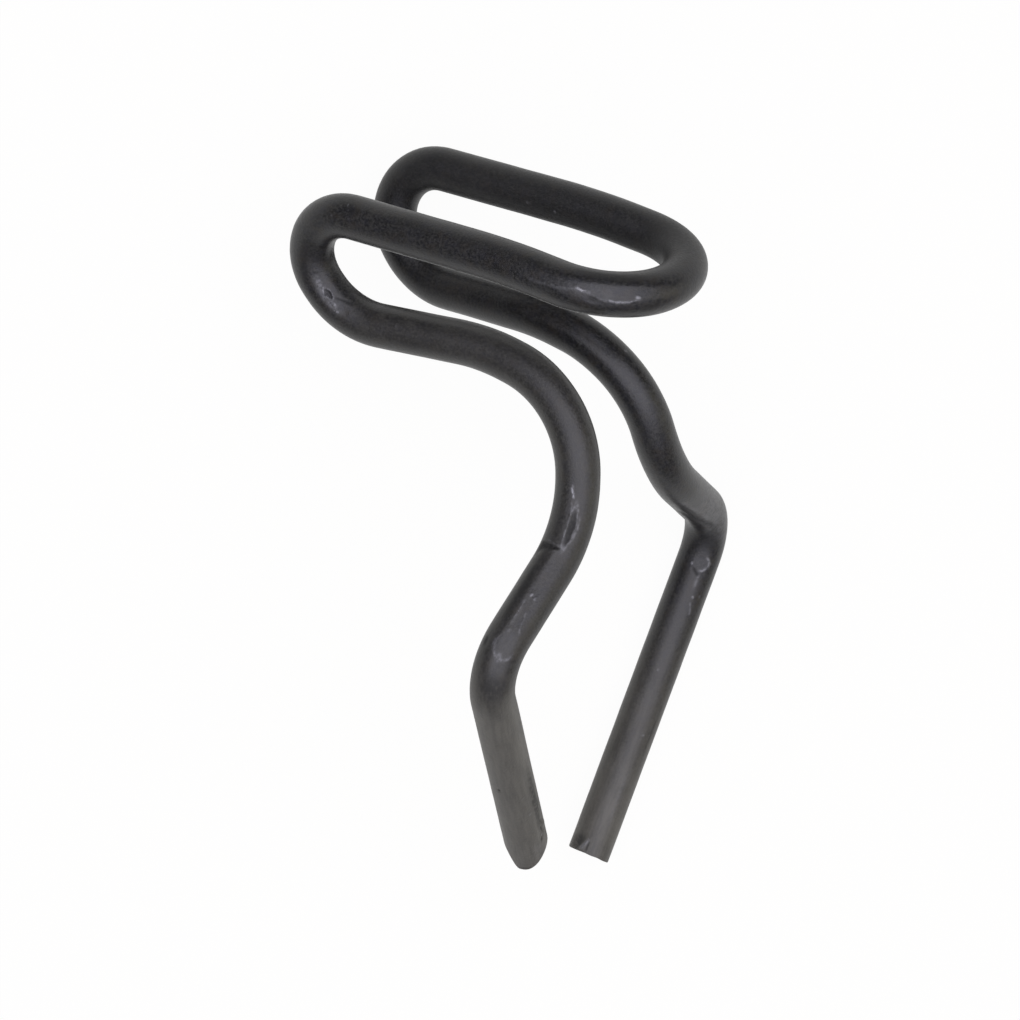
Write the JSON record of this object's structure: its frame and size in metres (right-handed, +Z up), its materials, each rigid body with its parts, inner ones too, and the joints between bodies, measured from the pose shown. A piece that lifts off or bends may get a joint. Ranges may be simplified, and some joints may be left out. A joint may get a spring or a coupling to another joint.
{
  "type": "door trim panel clip",
  "caption": "Spring wire clip for a door trim panel: its looped head grips the trim board and its bowed legs snap into a hole in the door.",
  "frame": {"origin": "on the floor, below the middle of the clip's bounding box, with the clip lying as it comes to rest", "axes": "+Z up from the floor the clip lies on, on its whole rear lower leg and its rear heel; +Y up the lower leg that lies on the floor, from its cut end towards the head; +X from the heels towards the nose"},
  "size_m": [0.0198, 0.0242, 0.0133],
  "materials": {
    "black_spring_steel": "satin black heat-treated and oiled spring steel, worn lighter where tools and the cutter touched it"
  },
  "bodies": {
    "root": {"wire_clip": "black_spring_steel"}
  },
  "joints": []
}
